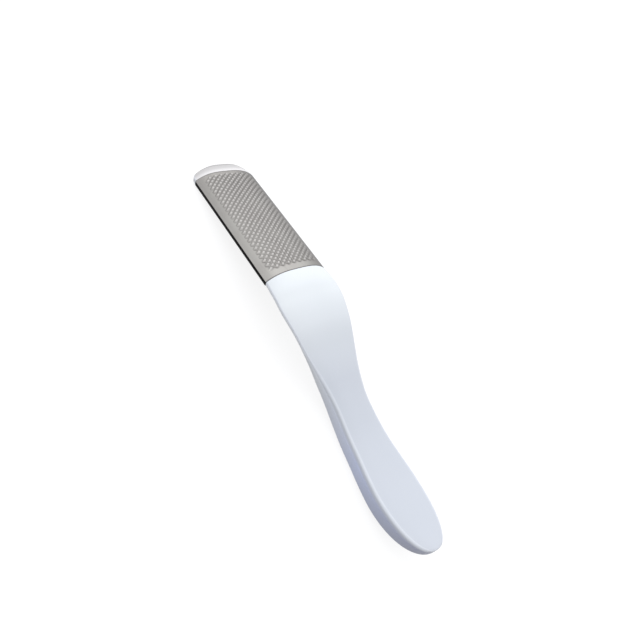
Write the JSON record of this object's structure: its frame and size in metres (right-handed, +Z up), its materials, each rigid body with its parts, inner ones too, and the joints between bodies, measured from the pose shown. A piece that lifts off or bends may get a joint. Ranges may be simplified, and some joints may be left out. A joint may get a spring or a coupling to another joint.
{
  "type": "foot file",
  "caption": "Hand foot file: crowned metal rasp on one face, emery on a black pad on the other, cranked white handle with a paddle end.",
  "frame": {"origin": "on the table, below the middle of the object's box as it lies with its rasp face up", "axes": "+X from the tip towards the handle's end, +Y to the side across the file, +Z up"},
  "size_m": [0.2024, 0.0336, 0.0243],
  "materials": {
    "front_plastic": "glossy white moulded plastic",
    "back_plastic": "glossy white moulded plastic",
    "rasp_metal": "satin stamped steel with sharp diamond teeth",
    "plate_glue": "clear contact glue film",
    "pad_foam": "black closed-cell foam pad",
    "pad_glue": "clear contact glue film",
    "emery_grit": "black grit on a cloth backing"
  },
  "bodies": {
    "root": {"front_shell": "front_plastic", "back_shell": "back_plastic", "rasp_plate": "rasp_metal", "plate_adhesive": "plate_glue", "foam_pad": "pad_foam", "pad_adhesive": "pad_glue", "emery_sheet": "emery_grit"}
  },
  "joints": []
}
